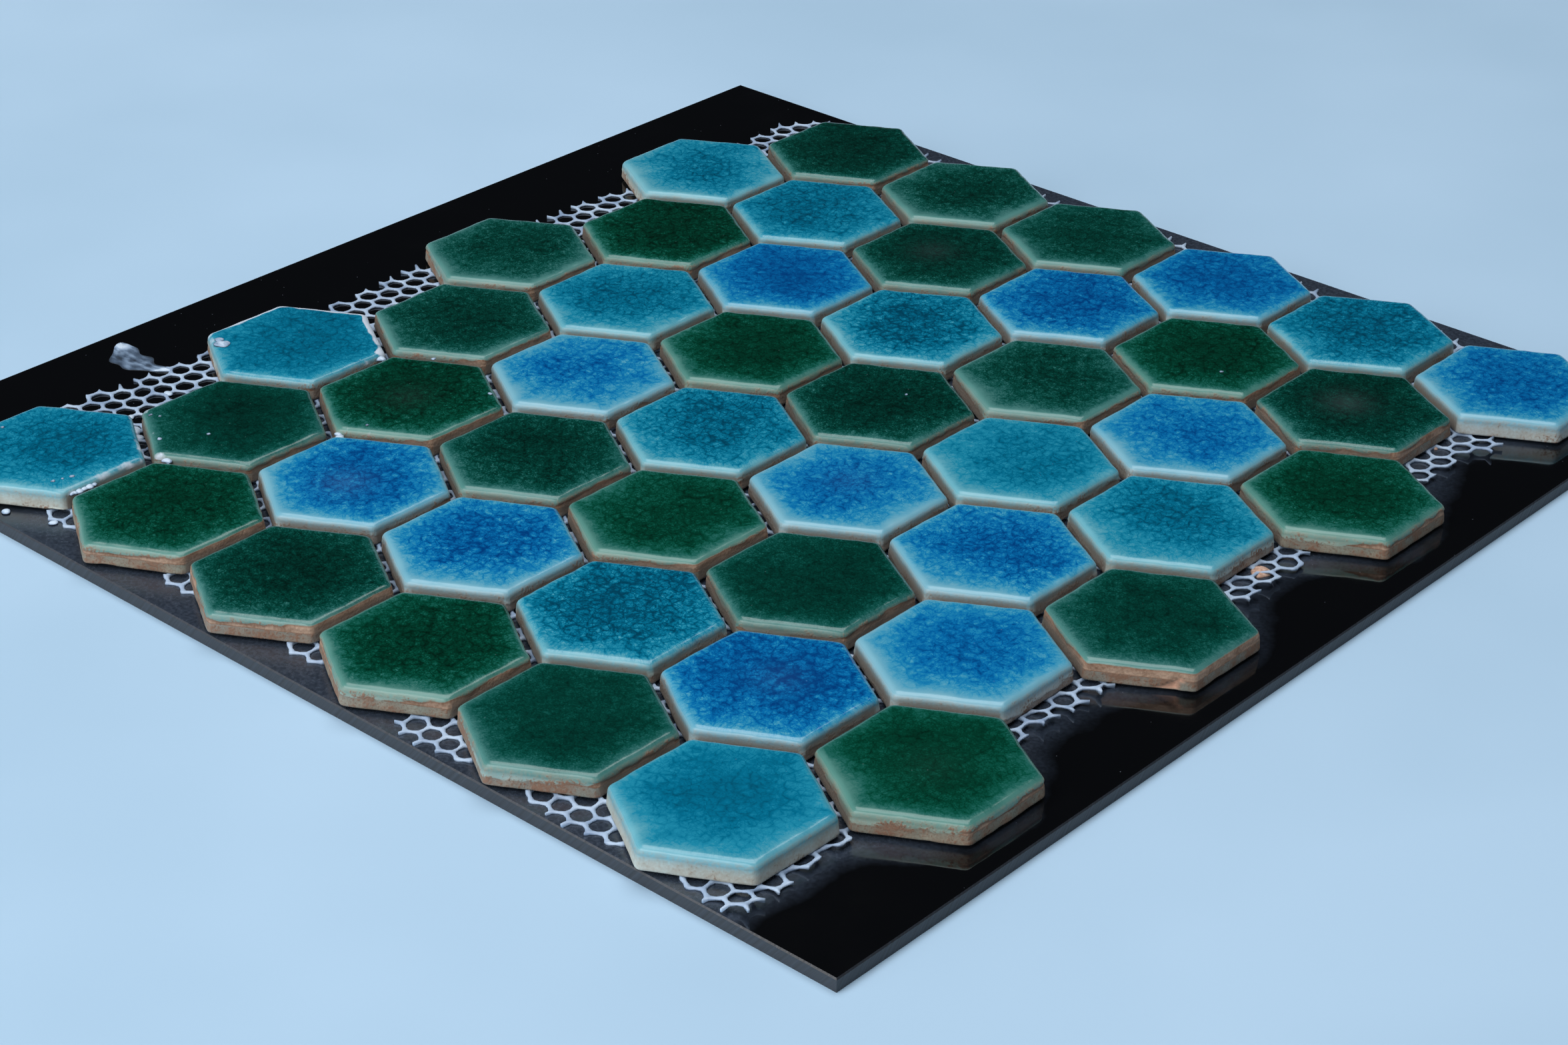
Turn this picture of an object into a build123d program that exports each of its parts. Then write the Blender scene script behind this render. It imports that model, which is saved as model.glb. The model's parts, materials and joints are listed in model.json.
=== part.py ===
"""Sheet of glazed hexagon mosaic wall tiles, held on a plastic net and bonded to a square board.

The board lies on its back face, with the origin at the centre of that face. X runs along the
rows of tiles, Y across them and Z up. All sizes are in millimetres.
"""
import os
import random
from math import ceil, cos, degrees, radians, sin, sqrt

from build123d import *

# Tiles: pressed hexagons, with two flats facing along the row
tile_across = 40.0
tile_thickness = 4.8
tile_edge_radius = 1.2
tile_joint = 2.0
row_letters = "abcdefgh"
tiles_in_row = 6

# Hand laying: how far a tile strays, how far each row slips past the last, and the sheet's turn
lay_play = 0.25
row_slip = -0.6
sheet_turn_deg = -0.34
laying_seed = 48

# Net: moulded honeycomb, cut to run past the flat row ends and to stop behind the outer corners
net_thickness = 0.8
net_pitch = 5.2
net_strand = 1.1
net_past_row_end = 8.0
net_behind_corner = 2.0
net_bare_margin = 0.2

# Board: sawn plastic sheet, a little larger than the sheet of tiles is deep
board_thickness = 3.0
board_margin = 1.6
board_edge_break = 0.3
sheet_shift_x = 8.0
sheet_shift_y = -2.0

# Layout worked out from the sizes above
tile_pitch = tile_across + tile_joint
row_step = tile_pitch * sqrt(3) / 2
corner_reach = tile_across / sqrt(3)
row_count = len(row_letters)
sheet_depth = (row_count - 1) * row_step + 2 * corner_reach
flat_row_end = (tiles_in_row - 1) * tile_pitch / 2 + tile_across / 2 - tile_pitch / 4
board_side = sheet_depth + 2 * board_margin
net_bottom = board_thickness
tile_bottom = net_bottom + net_thickness
net_row_step = net_pitch * sqrt(3) / 2
net_columns = ceil((flat_row_end + net_past_row_end) / net_pitch)
net_rows = round((sheet_depth / 2 - net_behind_corner) / net_row_step)
net_half_width = net_columns * net_pitch + net_strand / 2
net_half_depth = net_rows * net_row_step
HEX_FLATS_ALONG_X = 30


def staggered(row):
    """Half a step for every other row of a honeycomb."""
    return 0.5 * (row % 2)


def tile_place(row, column):
    """Centre of a tile in the sheet's own plan, measured from the middle of the sheet."""
    x = (column + staggered(row) - (tiles_in_row - 0.5) / 2) * tile_pitch
    y = (row - (row_count - 1) / 2) * row_step
    return x, y


def on_board(x, y):
    """A point of the sheet's plan after its rows have slipped and the sheet is turned and laid."""
    slipped = x + row_slip * y / row_step
    turn = radians(sheet_turn_deg)
    board_x = sheet_shift_x + slipped * cos(turn) - y * sin(turn)
    board_y = sheet_shift_y + slipped * sin(turn) + y * cos(turn)
    return board_x, board_y


def reach_from_tile(x, y, tile_x, tile_y):
    """Distance from a tile's centre to the hexagon of its own shape that passes through a point."""
    faces = (radians(angle) for angle in (0, 60, 120))
    return max(abs((x - tile_x) * cos(face) + (y - tile_y) * sin(face)) for face in faces)


tile_places = {
    (row, column): tile_place(row, column)
    for row in range(row_count)
    for column in range(tiles_in_row)
}


def bare_net_openings():
    """Openings of the net that lie past the outer tiles, where no adhesive fills them."""
    nearest_bare = tile_pitch / 2 + net_bare_margin
    places = []
    for net_row in range(-net_rows, net_rows + 1):
        for net_column in range(-net_columns, net_columns + 1):
            x = (net_column + staggered(net_row)) * net_pitch
            y = net_row * net_row_step
            reaches = (reach_from_tile(x, y, *place) for place in tile_places.values())
            if x < net_half_width and min(reaches) > nearest_bare:
                places.append(on_board(x, y))
    return places


# Backing board, with the arris of its top face broken
with BuildPart() as backing_board:
    with BuildSketch():
        Rectangle(board_side, board_side)
    extrude(amount=board_thickness)
    chamfer(backing_board.faces().sort_by(Axis.Z)[-1].edges(), board_edge_break)
backing_board.part.label = "backing_board"

# Backing net: filled with adhesive under the tiles, open past them, cut through its strands
with BuildPart() as backing_net:
    with BuildSketch(Plane.XY.offset(net_bottom)):
        with BuildLine():
            Polyline(
                on_board(-net_half_width, -net_half_depth),
                on_board(net_half_width, -net_half_depth),
                on_board(net_half_width, net_half_depth),
                on_board(-net_half_width, net_half_depth),
                close=True,
            )
        make_face()
        with Locations(*bare_net_openings()):
            RegularPolygon(
                radius=(net_pitch - net_strand) / sqrt(3),
                side_count=6,
                rotation=HEX_FLATS_ALONG_X + sheet_turn_deg,
                mode=Mode.SUBTRACT,
            )
    extrude(amount=net_thickness)
backing_net.part.label = "backing_net"


def glazed_tile(label, x, y, turn_deg):
    """One tile: a hexagon prism whose glazed face has a rolled edge all round."""
    seat = Plane(origin=(x, y, tile_bottom), x_dir=(cos(radians(turn_deg)), sin(radians(turn_deg)), 0))
    with BuildPart() as tile:
        with BuildSketch(seat):
            RegularPolygon(radius=corner_reach, side_count=6, rotation=HEX_FLATS_ALONG_X)
        extrude(amount=tile_thickness)
        fillet(tile.faces().sort_by(Axis.Z)[-1].edges(), tile_edge_radius)
    tile.part.label = label
    return tile.part


os.makedirs("parts", exist_ok=True)
export_step(backing_board.part, "parts/backing_board.step")
export_step(backing_net.part, "parts/backing_net.step")

# Tiles, row by row from the front edge, each a little off its place as laid by hand
laying = random.Random(laying_seed)
for (row, column), place in tile_places.items():
    stray_x = laying.uniform(-lay_play, lay_play)
    stray_y = laying.uniform(-lay_play, lay_play)
    stray_turn = degrees(laying.uniform(-lay_play, lay_play) / corner_reach)
    laid_x, laid_y = on_board(*place)
    name = f"tile_{row_letters[row]}{column + 1}"
    tile = glazed_tile(name, laid_x + stray_x, laid_y + stray_y, sheet_turn_deg + stray_turn)
    export_step(tile, f"parts/{name}.step")
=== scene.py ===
"""Looks of a net-backed sheet of crackle-glazed hexagon tiles, stuck to a black gloss board.

Shapes are worked out in millimetres, in the board's own frame, and put into meshes in metres.
"""
import json
import math

import bpy
import numpy as np
from mathutils import Matrix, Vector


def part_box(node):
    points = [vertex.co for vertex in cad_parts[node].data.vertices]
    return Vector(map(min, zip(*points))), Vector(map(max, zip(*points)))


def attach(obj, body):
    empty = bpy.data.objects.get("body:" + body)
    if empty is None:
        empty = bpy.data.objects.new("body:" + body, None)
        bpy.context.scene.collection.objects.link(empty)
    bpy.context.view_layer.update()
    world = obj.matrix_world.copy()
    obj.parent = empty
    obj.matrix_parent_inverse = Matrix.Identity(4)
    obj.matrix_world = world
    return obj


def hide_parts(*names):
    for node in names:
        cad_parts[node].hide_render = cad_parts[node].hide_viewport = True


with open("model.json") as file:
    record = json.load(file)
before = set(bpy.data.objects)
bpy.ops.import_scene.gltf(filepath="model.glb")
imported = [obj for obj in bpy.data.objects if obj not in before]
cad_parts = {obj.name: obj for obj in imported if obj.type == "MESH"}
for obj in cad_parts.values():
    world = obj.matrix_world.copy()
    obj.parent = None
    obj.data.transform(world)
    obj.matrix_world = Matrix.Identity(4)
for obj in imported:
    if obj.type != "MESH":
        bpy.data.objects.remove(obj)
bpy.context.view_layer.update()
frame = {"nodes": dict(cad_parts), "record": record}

MM = 0.001

# Camera: fitted to the tiles' middles and the board's edges
CAMERA_PLACE_MM = (452.2, -501.3, 352.3)
CAMERA_AZIMUTH = 41.894
CAMERA_ELEVATION = 29.145
CAMERA_ROLL = 0.32
CAMERA_LENS_MM = 74.24
SENSOR_WIDTH_MM = 36.0

# Tiles
TILE_ACROSS = 40.0
TILE_JOINT = 2.0
TILE_CORNER = 1.8
EDGE_ROLL = 1.4
# The pressed flanks draw in by this much from foot to face
DRAFT = 0.42
ROWS = "abcdefgh"
TILES_IN_ROW = 6
TILE_PITCH = TILE_ACROSS + TILE_JOINT
ROW_STEP = TILE_PITCH * math.sqrt(3) / 2

# Unevenness of a pressed and glazed tile
GLAZE_COAT = 0.10
GLAZE_BEAD = 0.07
CLAY_GRAIN = 0.06
RIM_FALL = 0.16
FACE_HOLLOW = 0.05
FACE_RIPPLE = 0.045

# Points round a tile and down its section, and the section's ends: the inner ring of the face, where the face
# meets the roll, where the flank meets the foot, and the foot's own rings
SIDE_STEPS = 22
CORNER_STEPS = 4
FACE_RINGS = 12
ROLL_RINGS = 7
FLANK_RINGS = 12
INNER_RING = 1.2
FACE_EDGE = 0.35
FOOT_TOP = 0.35
FOOT_INSETS = (0.08, 0.30, 3.0)
FOOT_LEVELS = (0.12, 0.0, 0.0)

# Net: rows and columns of openings each side of the sheet's middle. Its cut edges slant a little, and each is
# given by its place at the sheet's middle and its slope
NET_ROWS = 36
NET_COLUMNS = 30
NET_PITCH = 5.2
NET_STRAND = 0.78
NET_ROW_STEP = NET_PITCH * math.sqrt(3) / 2
NET_UNDER_TILE = 1.2
NET_RIGHT_CUT = (121.7, 0.028)
NET_LEFT_CUT = (-133.2, 0.044)
NET_FRONT_CUT = (-145.6, -0.034)
NET_BACK_CUT = (148.0, 0.0)

# Dust lies further out beside the rows that stand out on the right: row b is one of them
DUST_PHASE = 92.9 / ROW_STEP * math.pi
FRONT_ROW_Y = -129.3

# How each glaze lies: its depth where it pools, its thickness on the rim, its reach in from there, how high
# up the flank it can stop, and its depth on the flank
GLAZES = {
    "green_glaze": dict(body=0.70, rim=2.4, reach=3.5, run_low=0.36, run_high=0.72, flank=0.10),
    "teal_glaze": dict(body=0.66, rim=3.5, reach=4.0, run_low=0.06, run_high=0.32, flank=0.03),
    "blue_glaze": dict(body=0.67, rim=3.0, reach=4.2, run_low=0.06, run_high=0.32, flank=0.03),
}
# Where the glaze stopped on tiles with a flank in full view, as a share of the tile's height
RUN_STOPS = {"a1": -0.2, "a2": 0.68, "a3": 0.72, "a4": 0.62, "a5": 0.44, "a6": -0.4,
             "b6": 0.50, "d6": 0.84, "f6": 0.50, "h6": -0.2}
# Green tiles of a yellower batch, and tiles that were fired deeper or paler than the rest
GRASSY = "a2 a4 b6 c2 c4 e3 f1 f6 g5".split()
DEEP_FIRED = "a3 b1 b5 c1 c5 e4 f1 f2 g3 g4 g6 h1 h4".split()
PALE_FIRED = "c4 c6 d2 d4 e1 e5 f4 g1 h2".split()
# Tiles with a dull bloom near the middle, and how strong it is
BLOOMED = {"g6": 1.0, "g3": 0.6, "b2": 0.8, "b5": 0.4, "b6": 0.2, "c2": 0.4, "d4": 0.4}
# How strongly the glaze is crazed on tiles that stand out from the rest
CRAZED = {"b4": 1.3, "b3": 1.15, "f3": 1.2, "a1": 0.8, "a5": 0.6, "a6": 0.4, "b1": 0.7,
          "b6": 0.6, "c1": 0.6, "c5": 0.7, "c6": 0.8, "d6": 0.7, "e5": 0.6, "e6": 0.8}
# Adhesive film on a rim: how strong it is, and the direction of the side where it is widest
FILMED = {"c1": (0.95, 120.0), "a1": (0.4, 20.0), "b1": (0.4, 200.0), "c2": (0.3, 260.0)}
# Painted view effect: on every tile the pale band of the rim reaches further in on the side toward the camera
# and the window, standing in for looking slantwise through the glaze at the pale clay below; its direction,
# and how much further it reaches
RIM_PALER_TOWARD = 280.0
RIM_PALER_REACH = 0.26
CHIPPED_TILE = "d6"


def linear(hex_colour):
    """An sRGB hex value as linear red, green, blue and alpha."""
    srgb = [int(hex_colour[i:i + 2], 16) / 255 for i in (1, 3, 5)]
    return [c / 12.92 if c <= 0.04045 else ((c + 0.055) / 1.055) ** 2.4 for c in srgb] + [1.0]


def fill(tree, node, inputs):
    """Sets a node's inputs. Each takes a value, a socket or another node's first open output."""
    open_inputs = [socket for socket in node.inputs if socket.enabled]
    for key, value in inputs.items():
        socket = open_inputs[key] if isinstance(key, int) else next(s for s in open_inputs if s.name == key)
        if isinstance(value, bpy.types.Node):
            value = next(output for output in value.outputs if output.enabled)
        if isinstance(value, bpy.types.NodeSocket):
            tree.links.new(value, socket)
        else:
            socket.default_value = value


def add(tree, kind, inputs=None, stops=(), **settings):
    """One node with its settings, inputs and colour stops."""
    made = tree.nodes.new(kind)
    for name, value in settings.items():
        setattr(made, name, value)
    for index, (position, hex_colour) in enumerate(stops):
        elements = made.color_ramp.elements
        stop = elements[index] if index < 2 else elements.new(position)
        stop.position = position
        stop.color = linear(hex_colour)
    fill(tree, made, inputs or {})
    return made


def new_material(name):
    """An empty material with its node tree and the shader that its surface shows."""
    material = bpy.data.materials.new(name)
    material.use_nodes = True
    tree = material.node_tree
    tree.nodes.clear()
    shader = add(tree, "ShaderNodeBsdfPrincipled")
    add(tree, "ShaderNodeOutputMaterial", {"Surface": shader})
    return material, tree, shader


def smooth_step(low, high, value):
    """0 below low, 1 above high, and an S-curve between them."""
    t = np.clip((value - low) / (high - low), 0, 1)
    return t * t * (3 - 2 * t)


def plane_waves(rng, points, wavelength, terms=7):
    """Smooth unevenness of about -1 to 1: a sum of sine waves of random direction and phase."""
    directions = rng.normal(size=(terms, points.shape[-1]))
    directions /= np.linalg.norm(directions, axis=1, keepdims=True)
    lengths = wavelength * rng.uniform(0.7, 1.5, terms)
    phases = rng.uniform(0, 2 * np.pi, terms)
    waves = np.sin(points @ (directions * (2 * np.pi / lengths)[:, None]).T + phases)
    return waves.sum(-1) / math.sqrt(2 * terms)


def mesh_piece(name, points, face_sets, material, fields=None):
    """A smooth mesh from points in mm and arrays of faces. Fields are stored as point attributes."""
    mesh = bpy.data.meshes.new(name)
    mesh.vertices.add(len(points))
    mesh.vertices.foreach_set("co", (np.asarray(points) * MM).astype(np.float32).ravel())
    corners = np.concatenate([faces.ravel() for faces in face_sets])
    sizes = np.concatenate([np.full(len(faces), faces.shape[1]) for faces in face_sets])
    mesh.loops.add(len(corners))
    mesh.loops.foreach_set("vertex_index", corners.astype(np.int32))
    mesh.polygons.add(len(sizes))
    mesh.polygons.foreach_set("loop_start", (np.cumsum(sizes) - sizes).astype(np.int32))
    for field, values in (fields or {}).items():
        kind, channel = ("FLOAT_VECTOR", "vector") if values.ndim == 2 else ("FLOAT", "value")
        attribute = mesh.attributes.new(field, kind, "POINT")
        attribute.data.foreach_set(channel, values.astype(np.float32).ravel())
    mesh.update(calc_edges=True)
    mesh.validate()
    mesh.shade_smooth()
    mesh.materials.append(material)
    piece = bpy.data.objects.new(name, mesh)
    bpy.context.scene.collection.objects.link(piece)
    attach(piece, "root")
    return piece


def capped_rings(rings, around):
    """Faces of a closed skin: quads between rings, and a fan to one end point above and one below."""
    ring = np.arange(rings * around).reshape(rings, around)
    beside = np.roll(ring, -1, axis=1)
    quads = np.stack([ring[:-1], ring[1:], beside[1:], beside[:-1]], -1).reshape(-1, 4)
    first = np.full(around, rings * around)
    last = first + 1
    fans = np.concatenate([
        np.stack([first, ring[0], beside[0]], -1),
        np.stack([last, beside[-1], ring[-1]], -1),
    ])
    return quads, fans


# Tiles


def tile_outline():
    """A hexagon with rounded corners: straight runs between core corners, then arcs of TILE_CORNER."""
    step = np.arange(6 * (SIDE_STEPS + CORNER_STEPS))
    side, along = np.divmod(step, SIDE_STEPS + CORNER_STEPS)
    run = np.minimum(along / SIDE_STEPS, 1)
    bend = np.maximum(along - SIDE_STEPS, 0) / CORNER_STEPS
    facing = np.radians(60 * (side + bend))
    before, after = np.radians(60 * side - 30), np.radians(60 * side + 30)
    core = (TILE_ACROSS / 2 - TILE_CORNER) / math.cos(math.pi / 6)
    x = core * ((1 - run) * np.cos(before) + run * np.cos(after)) + TILE_CORNER * np.cos(facing)
    y = core * ((1 - run) * np.sin(before) + run * np.sin(after)) + TILE_CORNER * np.sin(facing)
    return np.stack([x, y], -1), side + run


def tile_section(height):
    """Inset from the outline and height of each ring: the face, a quarter-round, the flank, the foot."""
    face = np.linspace(TILE_ACROSS / 2 - INNER_RING, EDGE_ROLL + FACE_EDGE, FACE_RINGS)
    roll = np.radians(np.linspace(0, 90, ROLL_RINGS))
    rolled_in = EDGE_ROLL * (1 - np.sin(roll))
    rolled_down = height - EDGE_ROLL * (1 - np.cos(roll))
    flank = np.linspace(height - EDGE_ROLL, FOOT_TOP, FLANK_RINGS)[1:]
    inset = np.concatenate([face, rolled_in, 0 * flank, FOOT_INSETS])
    level = np.concatenate([0 * face + height, rolled_down, flank, FOOT_LEVELS])
    return inset, level


def tile_shape(rng, name, glaze, tone, height, sheltered):
    """One tile about its own middle: each ring of the section is the outline, scaled in by its inset.

    The glazed face ripples, the glaze stands a little proud on the flank and ends in a wavy bead, and the
    bare clay below it is rough. Sheltered is 1 on sides that face a joint. Returns points, faces and the
    fields that the glaze reads.
    """
    outline, station = tile_outline()
    inset, level = tile_section(height)
    half = TILE_ACROSS / 2
    inset = np.repeat(inset[:, None], len(outline), axis=1)
    level = np.repeat(level[:, None], len(outline), axis=1)
    flat_points = outline * (1 - inset / half)[..., None]
    solid_points = np.concatenate([flat_points, level[..., None]], -1)

    upper = level > height / 2
    on_face = smooth_step(0.6, 3.5, inset)
    on_flank = 1 - smooth_step(0.0, 0.5, inset)
    run_level = RUN_STOPS.get(name, rng.uniform(glaze["run_low"], glaze["run_high"]))
    sideways = (outline[:, 0] / half) ** 2
    run_line = height * (run_level + 0.08 * plane_waves(rng, outline, 13.0) + 0.26 * (sideways - 0.25))
    run = level - run_line - 0.38 * plane_waves(rng, outline, 4.4)
    run = np.maximum(run, 4 * (inset - 0.2) * upper)
    covered = smooth_step(-0.1, 0.25, run)
    coat = GLAZE_COAT * covered + GLAZE_BEAD * np.exp(-((run - 0.2) / 0.3) ** 2)
    grain = CLAY_GRAIN * plane_waves(rng, solid_points, 2.2) * (1 - covered)
    wander = 0.10 * plane_waves(rng, outline, 18.0) + 0.05 * plane_waves(rng, outline, 6.0)
    swell = wander - DRAFT * level / height + on_flank * (coat + grain - GLAZE_COAT)

    scar = np.zeros_like(level)
    if name == CHIPPED_TILE:
        along = station - 5
        rise = level / (height - EDGE_ROLL / 2)
        top = 0.9 * np.clip((along - 0.47) / 0.48, 0, 1) ** 2
        bottom = 0.9 * np.clip((along - 0.87) / 0.08, 0, 1)
        on_side = (along > 0) & (along < 0.98) & (inset < 1)
        scar = on_side * smooth_step(0, 0.08, top - rise) * smooth_step(-0.02, 0.06, rise - bottom)
        swell = swell - 1.2 * scar * np.sqrt(np.clip(top - rise, 0, 1))

    foot_lift = 0.4 * np.clip(plane_waves(rng, outline, 8.0) - 0.55, 0, 1)
    points = outline * (1 - inset / half + swell / half)[..., None]
    face_ripple = FACE_RIPPLE * plane_waves(rng, flat_points, 12.0) - FACE_HOLLOW * on_face
    rim_waves = 0.06 * plane_waves(rng, outline, 8.0) + 0.03 * plane_waves(rng, outline, 3.0)
    fall = RIM_FALL * (1 - smooth_step(0.0, 3.5, inset))
    rim_rise = (rim_waves - fall) * (level / height) ** 2 * (1 - on_face)
    z = level + rim_rise + on_face * face_ripple * upper
    z = np.where((level < 0.5) & (inset < 1.0), z + foot_lift, z)

    drift = plane_waves(rng, flat_points, 30.0)
    mottle = plane_waves(rng, flat_points, 9.0)
    facing_front = np.cos(np.arctan2(outline[:, 1], outline[:, 0]) - math.radians(RIM_PALER_TOWARD))
    # Painted view effect: the glaze is made thinner, so paler, on the rim's side toward the camera and the
    # window
    depth = 1 - np.exp(-(inset + glaze["rim"]) / (glaze["reach"] * (1 + RIM_PALER_REACH * facing_front)))
    middle_depth = 0.05 * smooth_step(6, 16, inset)
    pool = depth * (glaze["body"] + tone + middle_depth + 0.05 * drift + 0.03 * mottle)
    flank_depth = glaze["flank"] * (1 + 0.6 * plane_waves(rng, solid_points, 5.0))
    pool = flank_depth + (pool - flank_depth) * np.exp(-np.maximum(height - EDGE_ROLL - level, 0) / 0.7)
    bloom_middle = rng.uniform(-4, 4, 2)
    bloom_spread = np.linalg.norm(flat_points - bloom_middle, axis=-1) / 6.5
    dull = BLOOMED.get(name, 0.0) * np.exp(-bloom_spread ** 2) * upper
    near_rim = smooth_step(2.6, 0.8, inset) * (level > height - EDGE_ROLL)
    film_strength, film_side = FILMED.get(name, (0.0, 0.0))
    turned_away = np.arctan2(outline[:, 1], outline[:, 0]) - math.radians(film_side)
    film_reach = np.clip(0.50 + 0.8 * np.cos(turned_away) + 0.5 * plane_waves(rng, outline, 7.0), 0, 1)
    film = film_strength * near_rim * film_reach
    crazed = np.full_like(level, CRAZED.get(name, rng.uniform(0.8, 1.1)))
    # Partly dust, partly painted light: the lower flanks that face a joint are greyed and lightened, standing
    # in for light that hardly reaches into the joints
    joint_dust_and_painted_light = sheltered * on_flank * smooth_step(0.95, 0.40, level / height)
    rim = np.concatenate([np.broadcast_to(outline, flat_points.shape), 0.22 * inset[..., None]], -1)

    def with_ends(values):
        """A field on the rings, with its mean on the first and last ring for the two end points."""
        on_rings = values.reshape(-1, *values.shape[2:])
        return np.concatenate([on_rings, values[:1].mean(1), values[-1:].mean(1)])

    grid = with_ends(np.concatenate([points, z[..., None]], -1))
    fields = {"pool": pool, "run": run, "flank": on_flank, "scar": scar, "dull": dull, "film": film,
              "joint_dust_and_painted_light": joint_dust_and_painted_light, "crazed": crazed, "rim": rim}
    return grid, capped_rings(*level.shape), {field: with_ends(values) for field, values in fields.items()}


def tile_turn(node):
    """A tile's small turn on the sheet, from the place of its corner that points along +Y."""
    vertices = frame["nodes"][node].data.vertices
    points = np.empty(len(vertices) * 3)
    vertices.foreach_get("co", points)
    points = points.reshape(-1, 3)
    middle = (points.min(0) + points.max(0)) / 2
    corner = points[points[:, 1].argmax()] - middle
    return -math.atan2(corner[0], corner[1])


def tile_middle(node):
    """A tile's middle on the board, in mm."""
    low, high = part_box(node)
    return np.array((low + high) / 2)[:2] / MM


def lay_tile(node, slot, material, seed, middles):
    """Builds one tile where its CAD node lies, and hides that node so that the tile takes its place."""
    rng = np.random.default_rng(seed)
    name = node.removeprefix("tile_")
    tone = 0.07 * (name in DEEP_FIRED) - 0.06 * (name in PALE_FIRED) + rng.uniform(-0.03, 0.03)
    low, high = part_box(node)
    height = (high.z - low.z) / MM
    middle = tile_middle(node)
    across_joint = tile_outline()[0] * (1 + 2 * TILE_JOINT / (TILE_ACROSS / 2)) + middle
    sheltered = reach_from_tiles(across_joint, middles) < TILE_ACROSS / 2
    points, faces, fields = tile_shape(rng, name, GLAZES[slot], tone, height, sheltered)
    turn = tile_turn(node)
    turned = np.array([[math.cos(turn), math.sin(turn)], [-math.sin(turn), math.cos(turn)]])
    points[:, :2] = points[:, :2] @ turned + middle
    points[:, 2] += low.z / MM
    fields["rim"][:, :2] += middle
    piece = mesh_piece(f"{node}_glazed", points, faces, material, fields)
    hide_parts(node)


# Net


def sheet_axes():
    """Where the sheet lies on the board: its middle and its two axes, fitted to the tiles' middles."""
    rows, columns = np.divmod(np.arange(len(ROWS) * TILES_IN_ROW), TILES_IN_ROW)
    x = (columns + 0.5 * (rows % 2) - (TILES_IN_ROW - 0.5) / 2) * TILE_PITCH
    y = (rows - (len(ROWS) - 1) / 2) * ROW_STEP
    middles = np.array([tile_middle(f"tile_{ROWS[r]}{c + 1}") for r, c in zip(rows, columns)])
    plan = np.stack([x, y], -1)
    axes = np.linalg.lstsq(np.column_stack([np.ones_like(x), plan]), middles, rcond=None)[0]
    return plan, axes


def reach_from_tiles(points, plan):
    """Distance of each point to the nearest tile's middle, measured square to that tile's sides."""
    faces = np.radians([0, 60, 120])
    normals = np.stack([np.cos(faces), np.sin(faces)])
    return np.abs((points[:, None] - plan[None]) @ normals).max(-1).min(-1)


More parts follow.
